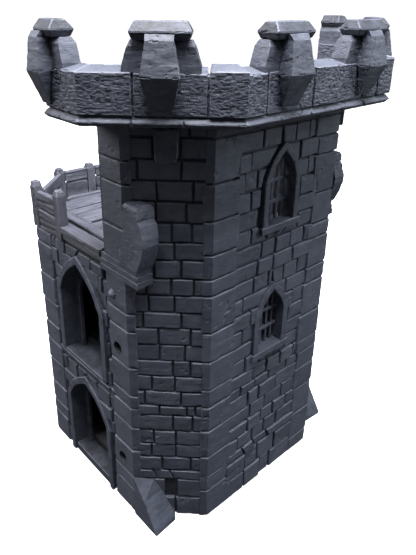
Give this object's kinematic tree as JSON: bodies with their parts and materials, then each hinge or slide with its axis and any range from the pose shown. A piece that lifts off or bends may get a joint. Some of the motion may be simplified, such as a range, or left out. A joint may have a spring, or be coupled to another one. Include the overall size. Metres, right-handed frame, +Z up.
{
  "type": "dice tower",
  "caption": "Tabletop dice tower shaped as a ruined castle gatehouse: octagonal arched storeys, plank deck, half tower with battlements over a dice shaft.",
  "frame": {"origin": "centre of the octagonal base, on the table", "axes": "+Z up, -Y out of the arched facade, +X towards the tall half tower"},
  "size_m": [0.1481, 0.1714, 0.2227],
  "materials": {
    "printed_stone": "dark slate grey filament print with fine layer lines",
    "printed_planks": "the same grey print, modelled with wood grain",
    "printed_inner": "the same grey print, plain inner surfaces"
  },
  "bodies": {
    "root": {"chute_ramp": "printed_inner", "crown_brackets": "printed_stone", "crown_funnel": "printed_inner", "crown_moulding": "printed_stone", "crown_slab": "printed_stone", "deck_boards": "printed_planks", "edge_planks_facade": "printed_planks", "edge_planks_rear": "printed_planks", "entrance_step": "printed_stone", "exit_ramp": "printed_inner", "fence_boards_annex": "printed_planks", "fence_boards_chamfer": "printed_planks", "fence_boards_facade": "printed_planks", "fence_boards_rear": "printed_planks", "fence_posts": "printed_planks", "ground_slab": "printed_inner", "ground_storey_walls": "printed_stone", "half_tower_walls": "printed_stone", "ledge_facade": "printed_stone", "ledge_rear": "printed_stone", "lower_arch_frame": "printed_stone", "lower_window_frame": "printed_stone", "lower_window_lattice": "printed_stone", "merlon_braces": "printed_stone", "merlon_caps": "printed_stone", "merlon_facade": "printed_stone", "merlon_front_a": "printed_stone", "merlon_front_b": "printed_stone", "merlon_front_left": "printed_stone", "merlon_front_right": "printed_stone", "merlon_rear": "printed_stone", "parapet_facade": "printed_stone", "parapet_front": "printed_stone", "parapet_front_left": "printed_stone", "parapet_front_right": "printed_stone", "parapet_rear": "printed_stone", "quoins_annex_front": "printed_stone", "quoins_annex_rear": "printed_stone", "quoins_facade_left": "printed_stone", "quoins_facade_right": "printed_stone", "quoins_front_left": "printed_stone", "quoins_front_right": "printed_stone", "quoins_rear_left": "printed_stone", "quoins_rear_right": "printed_stone", "roof_slab": "printed_planks", "tower_ramp": "printed_inner", "upper_arch_frame": "printed_stone", "upper_arch_sill": "printed_planks", "upper_room_back_wall": "printed_inner", "upper_room_floorboards": "printed_planks", "upper_room_joist_floor": "printed_inner", "upper_storey_walls": "printed_stone", "upper_window_frame": "printed_stone", "upper_window_lattice": "printed_stone", "wall_stub_facade": "printed_stone", "wall_stub_rear": "printed_stone", "wedge_foot_facade": "printed_stone", "wedge_foot_rear": "printed_stone"}
  },
  "joints": []
}
